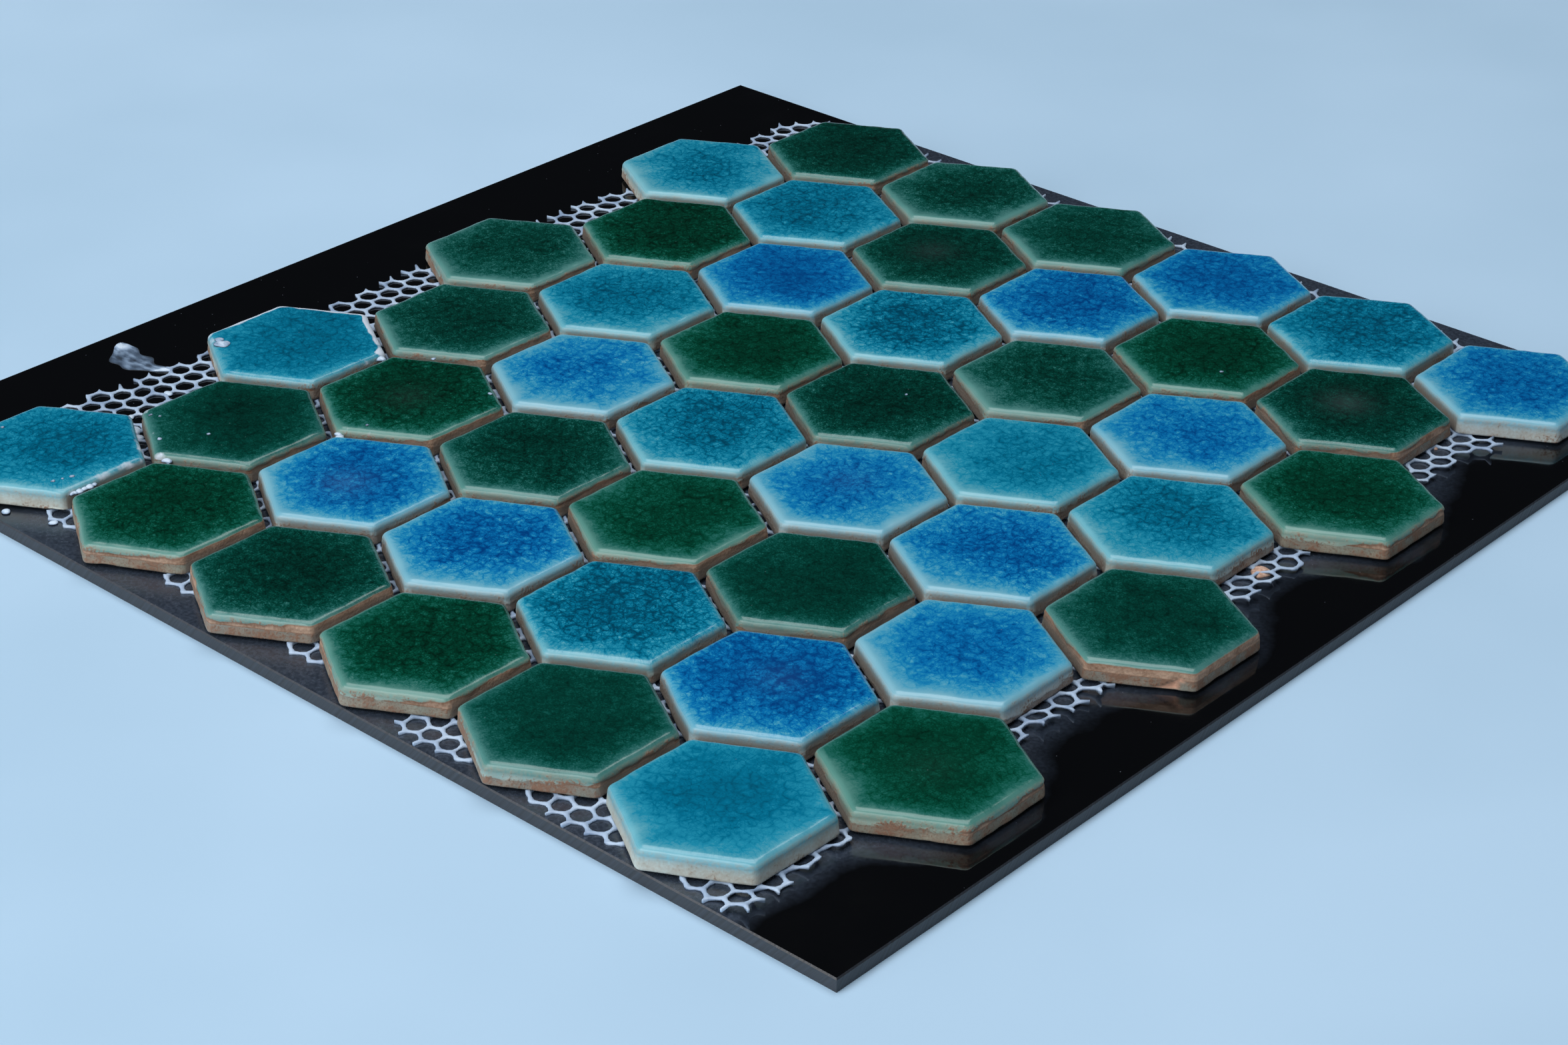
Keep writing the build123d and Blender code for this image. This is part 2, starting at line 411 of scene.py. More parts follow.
def net_shape(plan, axes, floor_z, height):
    """The net where it shows: a ring of strand round every opening, carried round the opening.

    Each ring's section goes from the strand's crest over its shoulder to the opening's wall and back
    under. Neighbouring rings share crests. A strand that was cut is a stub of about half its length.
    """
    rows, columns = np.arange(-NET_ROWS, NET_ROWS + 1), np.arange(-NET_COLUMNS, NET_COLUMNS + 1)
    net_row, net_column = np.meshgrid(rows, columns, indexing="ij")
    along_row = (net_column + 0.5 * (net_row % 2)) * NET_PITCH
    middles = np.stack([along_row, net_row * NET_ROW_STEP], -1).reshape(-1, 2)
    opening = (NET_PITCH - NET_STRAND) / 2
    u, v = middles.T
    whole = reach_from_tiles(middles, plan) > TILE_ACROSS / 2 - NET_UNDER_TILE
    whole &= (u + opening < NET_RIGHT_CUT[0] + NET_RIGHT_CUT[1] * v)
    whole &= (u - opening > NET_LEFT_CUT[0] + NET_LEFT_CUT[1] * v)
    whole &= (v - opening > NET_FRONT_CUT[0] + NET_FRONT_CUT[1] * u)
    whole &= (v + opening < NET_BACK_CUT[0] + NET_BACK_CUT[1] * u)

    corner_angle = np.radians(30 + 60 * np.arange(6))
    to_corner = np.stack([np.cos(corner_angle), np.sin(corner_angle)], -1)
    corners = middles[:, None] + NET_PITCH / math.sqrt(3) * to_corner
    keys = np.round(corners * 20).astype(np.int64)
    corner_id = np.unique(keys.reshape(-1, 2), axis=0, return_inverse=True)[1].reshape(len(middles), 6)
    kept = np.zeros(corner_id.max() + 1, bool)
    kept[corner_id[whole]] = True
    has_corner = kept[corner_id]
    used = has_corner.any(1)
    middles, corners, has_corner = middles[used], corners[used], has_corner[used]

    step = np.arange(12)
    before, after, way = step // 2, (step // 2 + 1) % 6, (step % 2) / 2
    crest = corners[:, before] * (1 - way)[:, None] + corners[:, after] * way[:, None]
    outward = crest - middles[:, None]
    distance = np.linalg.norm(outward, axis=-1, keepdims=True)
    at_corner = np.abs(way - 0.5)[None, :, None] * 2
    wall = middles[:, None] + outward / distance * (opening + 0.08 * at_corner)

    from_before, from_after = has_corner[:, before], has_corner[:, after]
    stub_before = from_before & ~from_after & (way == 0.5)
    stub_after = from_after & ~from_before & (way == 0.5)
    root = np.where(stub_before[..., None], corners[:, before], corners[:, after])
    cut_at = (corners[:, before] + corners[:, after]) / 2
    cut_length = 0.90 + 0.60 * np.sin(cut_at @ np.array([12.99, 78.23]))[..., None]
    stub = (stub_before | stub_after)[..., None]
    tip = stub.astype(float)

    share = np.array([0.0, 0.55, 1.0, 0.9, 0.0])[None, None, :, None]
    level = height * np.array([1.0, 0.92, 0.50, 0.0, 0.0])
    plan_points = crest[:, :, None] + (wall - crest)[:, :, None] * share * (1 - 0.55 * tip)[:, :, None]
    stretched = root[:, :, None] + (plan_points - root[:, :, None]) * cut_length[:, :, None]
    plan_points = np.where(stub[:, :, None], stretched, plan_points)

    rng = np.random.default_rng(5)
    wander = np.stack([0.30 * plane_waves(rng, plan_points, 21.0) + 0.16 * plane_waves(rng, plan_points, 8.0)
                       for _ in range(2)], -1)
    reach = reach_from_tiles(plan_points.reshape(-1, 2), plan).reshape(plan_points.shape[:-1])
    in_open = smooth_step(0.3, 1.5, reach - TILE_ACROSS / 2)
    lift = 0.25 * in_open * np.clip(plane_waves(rng, plan_points, 15.0), 0, 1)
    past_cut = plan_points[..., 0] - NET_RIGHT_CUT[0] - NET_RIGHT_CUT[1] * plan_points[..., 1]
    bow = np.clip(1.1 + 0.9 * plane_waves(rng, plan_points, 30.0), 0, 2)
    curl = bow * smooth_step(-9, 1, past_cut) * in_open
    laid = plan_points + wander
    board_points = axes[0] + laid[..., :1] * axes[1] + laid[..., 1:] * axes[2]
    z = floor_z + curl + level * (1 - 0.16 * (1 - at_corner)) * (1 - 0.40 * in_open)
    z = z + (lift + 0.3 * tip * cut_length) * (level > 0)
    points = np.concatenate([board_points, z[..., None]], -1)

    index = np.arange(points[..., 0].size).reshape(points.shape[:3])
    beside = np.roll(index, -1, axis=1)
    belongs = np.where(way < 0.5, before, after)
    shown = has_corner[:, belongs]
    skin = np.stack([index[..., :-1], beside[..., :-1], beside[..., 1:], index[..., 1:]], -1)
    quads = skin[shown].reshape(-1, 4)
    cut_end = index[stub_before][:, ::-1]
    cut_start = index[stub_after]
    caps = np.concatenate([cut_end, cut_start])
    points = points.reshape(-1, 3)
    merged, inverse = np.unique(np.round(points, 3), axis=0, return_inverse=True)
    inverse = inverse.ravel()
    face_points = inverse[np.concatenate([quads.ravel(), caps.ravel()])]
    used_points, faces = np.unique(face_points, return_inverse=True)
    faces = faces.ravel()
    return merged[used_points], [faces[:quads.size].reshape(-1, 4), faces[quads.size:].reshape(-1, 5)]


# Adhesive and crumbs


def smear_shape(floor_z):
    """A smear of adhesive: a leaf along a bowed line, with its width and thickness as sums of bumps."""
    turn = np.radians(np.arange(0, 360, 7.5))
    along, around = np.meshgrid(np.linspace(0.02, 0.98, 60), turn, indexing="ij")
    line = np.stack([-147.0 + 22.0 * along, -78.3 - 1.0 * along - 3.6 * np.sin(np.pi * along)], -1)
    rng = np.random.default_rng(11)
    ragged = 1 + 0.22 * plane_waves(rng, np.stack([10 * along, 2 * np.cos(around)], -1), 2.6)
    width = 3.9 * np.sin(np.pi * along ** 0.8) ** 0.8 * ragged
    across = -np.cos(around)
    far_lump = 0.45 * np.exp(-((along - 0.92) / 0.08) ** 2)
    near_lump = 0.35 * np.exp(-((along - 0.06) / 0.09) ** 2)
    body = 0.08 + far_lump + near_lump
    body = body * (1 + 0.35 * plane_waves(rng, np.stack([22 * along, 3 * across], -1), 3.0))
    rise = np.maximum(np.sin(around), 0) ** 0.6 * body
    x = line[..., 0] + 0.10 * width * across
    y = line[..., 1] + width * across
    rings = np.stack([x, y, floor_z + 0.01 + rise], -1)
    ends = np.array([[-147.2, -78.4, floor_z + 0.01], [-124.8, -79.4, floor_z + 0.01]])
    points = np.concatenate([rings.reshape(-1, 3), ends])
    thick = np.concatenate([rise.ravel(), [0.3, 0.3]])
    return points, capped_rings(*along.shape), {"thick": thick}


def lump_shape(spots, seed):
    """Low domes with wavy outlines. Each spot is its middle, its radius and its height."""
    rng = np.random.default_rng(seed)
    share = np.array([0.25, 0.5, 0.72, 0.88, 0.97, 1.0])
    turn = np.radians(np.arange(0, 360, 18))
    circle = np.stack([np.cos(turn), np.sin(turn)], -1)
    all_points, all_quads, all_fans, all_thick = [], [], [], []
    quads, fans = capped_rings(len(share), len(turn))
    for count, (x, y, z, radius, height) in enumerate(spots):
        wavy = radius * (1 + 0.28 * plane_waves(rng, circle, 2.2))
        plan = np.array([x, y]) + share[:, None, None] * wavy[:, None] * circle
        rise = np.repeat((height * (1 - share ** 2) ** 0.6)[:, None], len(turn), axis=1)
        rings = np.concatenate([plan, (z + rise)[..., None]], -1)
        all_points += [rings.reshape(-1, 3), [[x, y, z + height]], [[x, y, z - 0.03]]]
        all_thick += [rise.ravel(), [height, 0.0]]
        offset = count * (rise.size + 2)
        all_quads.append(quads + offset)
        all_fans.append(fans + offset)
    faces = [np.concatenate(all_quads), np.concatenate(all_fans)]
    return np.concatenate(all_points), faces, {"thick": np.concatenate(all_thick)}


# Materials


def crack_lines(tree, coords, rim, web, cloud, grain):
    """How much deeper or thinner the glaze looks from point to point, in three scales.

    Web sets broken strokes along the edges of cells, soft shadows beside them, thin long cracks, and short
    cracks square to the rim. Cloud sets soft blotches of 2 mm, and grain sets specks of a third of a mm.
    """
    stir = add(tree, "ShaderNodeTexNoise", {"Vector": coords, "Scale": 1 / (5.0 * MM), "Detail": 3.0})
    bent = add(tree, "ShaderNodeVectorMath", {0: stir.outputs["Color"], 1: (2.2 * MM,) * 3, 2: coords},
               operation="MULTIPLY_ADD")
    fray = add(tree, "ShaderNodeTexNoise", {"Vector": coords, "Scale": 1 / (1.2 * MM), "Detail": 3.0})
    frayed = add(tree, "ShaderNodeVectorMath", {0: fray.outputs["Color"], 1: (0.8 * MM,) * 3, 2: bent},
                 operation="MULTIPLY_ADD")
    gaps = add(tree, "ShaderNodeTexNoise", {"Vector": coords, "Scale": 1 / (2.0 * MM), "Detail": 3.0})
    patchy = add(tree, "ShaderNodeTexNoise", {"Vector": coords, "Scale": 1 / (7.0 * MM), "Detail": 3.0})
    inset = add(tree, "ShaderNodeSeparateXYZ", {"Vector": rim}).outputs["Z"]
    kinds = (
        # Coordinates, cell size in mm, line's half width as a share of the cell, the field that breaks the
        # line, its values where the line is gone and whole, and strength. The rim's own field is in mm
        (bent, 1.6, 0.07, gaps, 0.62, 0.40, 0.16),
        (frayed, 2.3, 0.15, gaps, 0.42, 0.64, 0.18),
        (frayed, 2.3, 0.42, gaps, 0.38, 0.68, 0.14),
        (frayed, 1.3, 0.20, gaps, 0.62, 0.46, 0.10),
        (frayed, 3.6, 0.26, patchy, 0.48, 0.64, 0.18),
        (bent, 3.4, 0.036, patchy, 0.66, 0.40, 0.14),
        (bent, 7.0, 0.018, patchy, 0.52, 0.44, 0.16),
        (rim, 1.1 / MM, 0.10, inset, 1.0, 0.5, 0.16),
    )
    total = 0.0
    for vector, cell_mm, width, mask, low, high, strength in kinds:
        edges = add(tree, "ShaderNodeTexVoronoi", {"Vector": vector, "Scale": 1 / (cell_mm * MM)},
                    feature="DISTANCE_TO_EDGE", voronoi_dimensions="3D" if vector == rim else "2D")
        line = add(tree, "ShaderNodeMapRange",
                   {"Value": edges, "From Max": width, "To Min": 1.0, "To Max": 0.0},
                   interpolation_type="SMOOTHSTEP")
        shown = add(tree, "ShaderNodeMapRange",
                    {"Value": mask, "From Min": low, "From Max": high, "To Max": strength * web})
        total = add(tree, "ShaderNodeMath", {0: line, 1: shown, 2: total}, operation="MULTIPLY_ADD")
    blotches = add(tree, "ShaderNodeTexNoise",
                   {"Vector": bent, "Scale": 1 / (2.4 * MM), "Detail": 4.0, "Roughness": 0.6})
    specks = add(tree, "ShaderNodeTexNoise", {"Vector": coords, "Scale": 1 / (0.35 * MM), "Detail": 2.0})
    for noise, strength in ((blotches, cloud), (specks, grain)):
        shade = add(tree, "ShaderNodeMapRange",
                    {"Value": noise, "From Min": 0.3, "From Max": 0.7,
                     "To Min": -strength, "To Max": strength})
        total = add(tree, "ShaderNodeMath", {0: total, 1: shade}, operation="ADD")
    return total


def clay_body(tree, coords, run, scar):
    """Bare fired clay: tan with brown patches, stained darker just below the glaze, pink where chipped."""
    grit = add(tree, "ShaderNodeTexNoise", {"Vector": coords, "Scale": 1 / (0.6 * MM), "Detail": 4.0})
    patches = add(tree, "ShaderNodeTexNoise", {"Vector": coords, "Scale": 1 / (4.0 * MM), "Detail": 3.0})
    mixed = add(tree, "ShaderNodeMath", {0: grit, 1: 0.7, 2: patches}, operation="MULTIPLY_ADD")
    share = add(tree, "ShaderNodeMapRange", {"Value": mixed, "From Min": 0.62, "From Max": 1.08})
    clay = add(tree, "ShaderNodeMix",
               {"Factor": share, "A": linear("#8A6C57"), "B": linear("#BFA28C")}, data_type="RGBA")
    stain = add(tree, "ShaderNodeMapRange",
                {"Value": run, "From Min": -0.7, "From Max": 0.0, "To Max": 0.7})
    stained = add(tree, "ShaderNodeMix",
                  {"Factor": stain, "A": clay, "B": linear("#6B4530")}, data_type="RGBA")
    broken = add(tree, "ShaderNodeMix",
                 {"Factor": scar, "A": stained, "B": linear("#E2B298")}, data_type="RGBA")
    return grit, patches, broken


def crackle_glaze(name, depth_stops, texture):
    """Fired crackle glaze over pressed clay: deep and glassy where it pools, thin and pale at the rim,
    with a net of fine cracks, and bare rough clay below the line where the glaze stopped running."""
    material, tree, shader = new_material(name)
    coords = add(tree, "ShaderNodeTexCoord").outputs["Object"]
    pool, run, flank, scar, dull, film, joint_dust_and_painted_light, crazed = (
        add(tree, "ShaderNodeAttribute", attribute_name=field).outputs["Fac"]
        for field in ("pool", "run", "flank", "scar", "dull", "film", "joint_dust_and_painted_light", "crazed"))
    rim = add(tree, "ShaderNodeAttribute", attribute_name="rim").outputs["Vector"]

    lines = crack_lines(tree, coords, rim, *texture)
    pooled = add(tree, "ShaderNodeMapRange",
                 {"Value": pool, "From Min": 0.36, "From Max": 0.66, "To Max": crazed})
    uneven_depth = add(tree, "ShaderNodeMath", {0: pooled, 1: lines, 2: pool}, operation="MULTIPLY_ADD")
    depth = add(tree, "ShaderNodeMath", {0: uneven_depth, 1: 1.0, 2: 0.4}, operation="SMOOTH_MIN")
    colour = add(tree, "ShaderNodeValToRGB", {"Fac": depth}, stops=depth_stops)
    specks = add(tree, "ShaderNodeTexVoronoi", {"Vector": coords, "Scale": 1 / (3.6 * MM)})
    speck = add(tree, "ShaderNodeMapRange",
                {"Value": specks, "From Min": 0.05, "From Max": 0.02, "To Max": 0.25})
    dusty = add(tree, "ShaderNodeMath", {0: dull, 1: 0.04, 2: speck}, operation="MULTIPLY_ADD")
    bloomed = add(tree, "ShaderNodeMix",
                  {"Factor": dusty, "A": colour, "B": linear("#8496A2")}, data_type="RGBA")

    grit, patches, clay = clay_body(tree, coords, run, scar)
    uneven = add(tree, "ShaderNodeMix", {"Factor": 0.5, "A": grit, "B": patches})
    showing = add(tree, "ShaderNodeMapRange",
                  {"Value": uneven, "From Min": 0.38, "From Max": 0.62, "To Max": 0.5})
    thin = add(tree, "ShaderNodeMath", {0: showing, 1: flank}, operation="MULTIPLY")
    glazed = add(tree, "ShaderNodeMix",
                 {"Factor": thin, "A": bloomed, "B": linear("#A08C76")}, data_type="RGBA")
    ragged = add(tree, "ShaderNodeMath", {0: grit, 1: 0.35, 2: run}, operation="MULTIPLY_ADD")
    covered = add(tree, "ShaderNodeMapRange", {"Value": ragged, "From Min": 0.06, "From Max": 0.30})
    low_run = add(tree, "ShaderNodeMapRange",
                  {"Value": run, "From Min": 2.4, "From Max": 0.0, "To Max": 0.16})
    pit_edge = add(tree, "ShaderNodeMath", {0: flank, 1: low_run, 2: uneven}, operation="MULTIPLY_ADD")
    pits = add(tree, "ShaderNodeMapRange", {"Value": pit_edge, "From Min": 0.62, "From Max": 0.74})
    flank_pits = add(tree, "ShaderNodeMath", {0: pits, 1: flank}, operation="MULTIPLY")
    unpitted = add(tree, "ShaderNodeMath", {0: 1.0, 1: flank_pits}, operation="SUBTRACT")
    whole = add(tree, "ShaderNodeMath", {0: covered, 1: unpitted}, operation="MULTIPLY")
    unbroken = add(tree, "ShaderNodeMath", {0: 1.0, 1: scar}, operation="SUBTRACT")
    glaze_share = add(tree, "ShaderNodeMath", {0: whole, 1: unbroken}, operation="MULTIPLY")
    fired = add(tree, "ShaderNodeMix", {"Factor": glaze_share, "A": clay, "B": glazed}, data_type="RGBA")
    # Lower flanks facing a joint go towards a pale grey beige: partly dust, partly painted light in the
    # joints
    dust_and_light_share = add(tree, "ShaderNodeMath", {0: joint_dust_and_painted_light, 1: 0.85}, operation="MULTIPLY")
    body = add(tree, "ShaderNodeMix",
               {"Factor": dust_and_light_share, "A": fired, "B": linear("#82786E")}, data_type="RGBA")
    film_edge = add(tree, "ShaderNodeMath", {0: patches, 1: 0.9, 2: film}, operation="MULTIPLY_ADD")
    film_share = add(tree, "ShaderNodeMapRange", {"Value": film_edge, "From Min": 0.88, "From Max": 1.05})
    finish = add(tree, "ShaderNodeMix",
                 {"Factor": film_share, "A": body, "B": linear("#C3D0DF")}, data_type="RGBA")

    thin_gloss = add(tree, "ShaderNodeMapRange",
                     {"Value": pool, "From Min": 0.20, "From Max": 0.55, "To Min": 0.30, "To Max": 0.12})
    gloss = add(tree, "ShaderNodeMix", {"Factor": flank, "A": thin_gloss, "B": 0.50})
    clay_gloss = add(tree, "ShaderNodeMix", {"Factor": glaze_share, "A": 0.9, "B": gloss})
    dull_gloss = add(tree, "ShaderNodeMath", {0: dull, 1: 0.2, 2: clay_gloss}, operation="MULTIPLY_ADD")
    film_gloss = add(tree, "ShaderNodeMix", {"Factor": film_share, "A": dull_gloss, "B": 0.55})
    peel = add(tree, "ShaderNodeTexNoise", {"Vector": coords, "Scale": 1 / (2.5 * MM), "Detail": 1.0})
    peel_part = add(tree, "ShaderNodeMath", {0: peel, 1: 0.2}, operation="MULTIPLY")
    flank_grit = add(tree, "ShaderNodeMath", {0: grit, 1: 0.45}, operation="MULTIPLY")
    skin = add(tree, "ShaderNodeMix", {"Factor": flank, "A": peel_part, "B": flank_grit})
    relief = add(tree, "ShaderNodeMix", {"Factor": glaze_share, "A": grit, "B": skin})
    bump = add(tree, "ShaderNodeBump", {"Height": relief, "Distance": 0.2 * MM, "Strength": 0.8})
    fill(tree, shader, {"Base Color": finish, "Roughness": film_gloss, "Normal": bump, "IOR": 1.52})
    return material


def net_plastic():
    """Moulded polythene net: bluish white, waxy, with a little grey dirt in patches."""
    material, tree, shader = new_material("moulded_polythene_net")
    coords = add(tree, "ShaderNodeTexCoord").outputs["Object"]
    dirt = add(tree, "ShaderNodeTexNoise", {"Vector": coords, "Scale": 1 / (6.0 * MM), "Detail": 4.0})
    colour = add(tree, "ShaderNodeValToRGB", {"Fac": dirt}, stops=((0.30, "#8299B8"), (0.65, "#B2C7DF")))
    grain = add(tree, "ShaderNodeTexNoise", {"Vector": coords, "Scale": 1 / (0.5 * MM), "Detail": 2.0})
    bump = add(tree, "ShaderNodeBump", {"Height": grain, "Distance": 0.05 * MM, "Strength": 0.6})
    fill(tree, shader, {"Base Color": colour, "Normal": bump, "Roughness": 0.42, "IOR": 1.51})
    return material


def dried_adhesive():
    """White adhesive that dried in the air: chalky where it is thick, a bluish film where it is thin."""
    material, tree, shader = new_material("dried_white_adhesive")
    thick = add(tree, "ShaderNodeAttribute", attribute_name="thick").outputs["Fac"]
    coords = add(tree, "ShaderNodeTexCoord").outputs["Object"]
    drawn_out = add(tree, "ShaderNodeVectorMath", {0: coords, 1: (0.35, 1.0, 1.0)}, operation="MULTIPLY")
    streaks = add(tree, "ShaderNodeTexNoise",
                  {"Vector": drawn_out, "Scale": 1 / (1.4 * MM), "Detail": 4.0})
    spread = add(tree, "ShaderNodeMapRange",
                 {"Value": streaks, "From Min": 0.3, "From Max": 0.7, "To Min": 0.3, "To Max": 1.7})
    body = add(tree, "ShaderNodeMath", {0: thick, 1: spread}, operation="MULTIPLY")
    colour = add(tree, "ShaderNodeValToRGB", {"Fac": body},
                 stops=((0.01, "#0B0D11"), (0.40, "#C3D6EA"), (0.06, "#46586E"), (0.16, "#8CA4C0")))
    fill(tree, shader, {"Base Color": colour, "Roughness": 0.4})
    return material


def pressed_clay():
    """Bare fired clay of a broken crumb: warm tan and matt."""
    material, tree, shader = new_material("pressed_clay_crumb")
    coords = add(tree, "ShaderNodeTexCoord").outputs["Object"]
    grit = add(tree, "ShaderNodeTexNoise", {"Vector": coords, "Scale": 1 / (0.7 * MM), "Detail": 4.0})
    colour = add(tree, "ShaderNodeValToRGB", {"Fac": grit}, stops=((0.35, "#A98572"), (0.65, "#D6B6A4")))
    fill(tree, shader, {"Base Color": colour, "Roughness": 0.9})
    return material


def board_plastic():
    """Black gloss sheet: a mirror-smooth face with dust and faint smears, and dull sawn edges."""
    material, tree, shader = new_material("black_gloss_sheet_sawn")
    coords = add(tree, "ShaderNodeTexCoord").outputs["Object"]
    normal = add(tree, "ShaderNodeNewGeometry").outputs["Normal"]
    facing = add(tree, "ShaderNodeSeparateXYZ", {"Vector": normal})
    sawn = add(tree, "ShaderNodeMapRange",
               {"Value": facing.outputs["Z"], "From Min": 0.95, "From Max": 0.6})
    place = add(tree, "ShaderNodeSeparateXYZ", {"Vector": coords})
    along = add(tree, "ShaderNodeMath", {0: place.outputs["X"], 1: place.outputs["Y"]}, operation="ADD")
    slant = add(tree, "ShaderNodeMath",
                {0: place.outputs["Z"], 1: -0.8, 2: along}, operation="MULTIPLY_ADD")
    teeth = add(tree, "ShaderNodeTexNoise", {"W": slant, "Scale": 1 / (0.9 * MM), "Detail": 3.0},
                noise_dimensions="1D")
    edge = add(tree, "ShaderNodeValToRGB", {"Fac": teeth}, stops=((0.30, "#14181F"), (0.70, "#262D38")))
    smears = add(tree, "ShaderNodeTexNoise", {"Vector": coords, "Scale": 1 / (22.0 * MM), "Detail": 5.0})
    specks = add(tree, "ShaderNodeTexVoronoi", {"Vector": coords, "Scale": 1 / (4.0 * MM)})
    speck = add(tree, "ShaderNodeMapRange", {"Value": specks, "From Min": 0.035, "From Max": 0.02})
    behind_front = add(tree, "ShaderNodeMath",
                       {0: place.outputs["Y"], 1: FRONT_ROW_Y * MM}, operation="MAXIMUM")
    row_wave = add(tree, "ShaderNodeMath", {0: behind_front, 1: math.pi / (ROW_STEP * MM), 2: DUST_PHASE},
                   operation="MULTIPLY_ADD")
    stagger = add(tree, "ShaderNodeMath", {0: row_wave}, operation="COSINE")
    wiped = add(tree, "ShaderNodeMath",
                {0: stagger, 1: -8.0 * MM, 2: place.outputs["X"]}, operation="MULTIPLY_ADD")
    ragged = add(tree, "ShaderNodeMath", {0: smears, 1: 16.0 * MM, 2: wiped}, operation="MULTIPLY_ADD")
    near_sheet = add(tree, "ShaderNodeMapRange",
                     {"Value": ragged, "From Min": 149.0 * MM, "From Max": 140.0 * MM})
    off_left = add(tree, "ShaderNodeMapRange",
                   {"Value": place.outputs["X"], "From Min": -104.0 * MM, "From Max": -90.0 * MM})
    settled = add(tree, "ShaderNodeMath", {0: near_sheet, 1: off_left}, operation="MULTIPLY")
    grain = add(tree, "ShaderNodeTexNoise", {"Vector": coords, "Scale": 1 / (0.8 * MM), "Detail": 3.0})
    grainy = add(tree, "ShaderNodeMapRange",
                 {"Value": grain, "From Min": 0.3, "From Max": 0.7, "To Min": 0.5})
    dust = add(tree, "ShaderNodeMath", {0: settled, 1: grainy}, operation="MULTIPLY")
    dusty = add(tree, "ShaderNodeMix",
                {"Factor": dust, "A": linear("#07080A"), "B": linear("#333D4C")}, data_type="RGBA")
    face = add(tree, "ShaderNodeMix",
               {"Factor": speck, "A": dusty, "B": linear("#5A616C")}, data_type="RGBA")
    colour = add(tree, "ShaderNodeMix", {"Factor": sawn, "A": face, "B": edge}, data_type="RGBA")
    face_gloss = add(tree, "ShaderNodeMapRange",
                     {"Value": smears, "From Min": 0.45, "From Max": 0.75, "To Min": 0.04, "To Max": 0.14})
    dusty_gloss = add(tree, "ShaderNodeMath", {0: dust, 1: 0.24, 2: face_gloss}, operation="MULTIPLY_ADD")
    gloss = add(tree, "ShaderNodeMix", {"Factor": sawn, "A": dusty_gloss, "B": 0.6})
    marks = add(tree, "ShaderNodeMath", {0: teeth, 1: sawn}, operation="MULTIPLY")
    bump = add(tree, "ShaderNodeBump", {"Height": marks, "Distance": 0.15 * MM, "Strength": 0.7})
    fill(tree, shader, {"Base Color": colour, "Roughness": gloss, "Normal": bump, "IOR": 1.75})
    return material


def floor_paint():
    """Pale blue painted table top, matt and nearly even."""
    material, tree, shader = new_material("pale_blue_table")
    coords = add(tree, "ShaderNodeTexCoord").outputs["Object"]
    cloud = add(tree, "ShaderNodeTexNoise", {"Vector": coords, "Scale": 1 / (160 * MM), "Detail": 3.0})
    colour = add(tree, "ShaderNodeValToRGB", {"Fac": cloud}, stops=((0.35, "#A6C6E0"), (0.65, "#AFCEE8")))
    fill(tree, shader, {"Base Color": colour, "Roughness": 0.7})
    return material


# Stage


def set_stage():
    """Floor, soft lamps, a dark room with a pale low wall, and the photograph's camera."""
    floor_mesh = bpy.data.meshes.new("floor")
    far = 4.0
    corners = [(-far, -far, 0), (far, -far, 0), (far, far, 0), (-far, far, 0)]
    floor_mesh.from_pydata(corners, [], [(0, 1, 2, 3)])
    floor_mesh.materials.append(floor_paint())
    floor = bpy.data.objects.new("floor", floor_mesh)
    bpy.context.scene.collection.objects.link(floor)

    # Name, place and size in metres, and watts. Each lamp faces the board's middle
    lamps = (
        ("window", (-0.06, -1.09, 1.38), (1.5, 0.6), 14.5),
        ("front_wall", (-0.15, -1.6, 0.5), (1.6, 0.9), 12.0),
        ("ceiling", (-0.20, 0.25, 1.85), (1.6, 1.6), 26.0),
    )
    for name, place, size, power in lamps:
        light = bpy.data.lights.new(name, "AREA")
        light.shape = "RECTANGLE"
        light.size, light.size_y = size
        light.energy = power
        lamp = bpy.data.objects.new(name, light)
        away = -Matrix.Translation(place).to_translation()
        lamp.matrix_world = Matrix.Translation(place) @ away.to_track_quat("-Z", "Y").to_matrix().to_4x4()
        bpy.context.scene.collection.objects.link(lamp)

    world = bpy.data.worlds.new("dark_room")
    world.use_nodes = True
    tree = world.node_tree
    tree.nodes.clear()
    direction = add(tree, "ShaderNodeTexCoord").outputs["Generated"]
    ray = add(tree, "ShaderNodeSeparateXYZ", {"Vector": direction})
    wall = add(tree, "ShaderNodeValToRGB", {"Fac": ray.outputs["Z"]},
               stops=((0.08, "#B0C0CE"), (0.28, "#14161A"), (0.18, "#5A646E")))
    air = add(tree, "ShaderNodeBackground", {"Color": wall})
    add(tree, "ShaderNodeOutputWorld", {"Surface": air})
    bpy.context.scene.world = world

    lens = bpy.data.cameras.new("camera")
    lens.lens = CAMERA_LENS_MM
    lens.sensor_width = SENSOR_WIDTH_MM
    camera = bpy.data.objects.new("camera", lens)
    place = [c * MM for c in CAMERA_PLACE_MM]
    camera.matrix_world = (
        Matrix.Translation(place)
        @ Matrix.Rotation(math.radians(CAMERA_AZIMUTH), 4, "Z")
        @ Matrix.Rotation(math.radians(90 - CAMERA_ELEVATION), 4, "X")
        @ Matrix.Rotation(math.radians(CAMERA_ROLL), 4, "Z")
    )
    bpy.context.scene.collection.objects.link(camera)
    bpy.context.scene.camera = camera
    bpy.context.scene.view_settings.view_transform = "Standard"


set_stage()

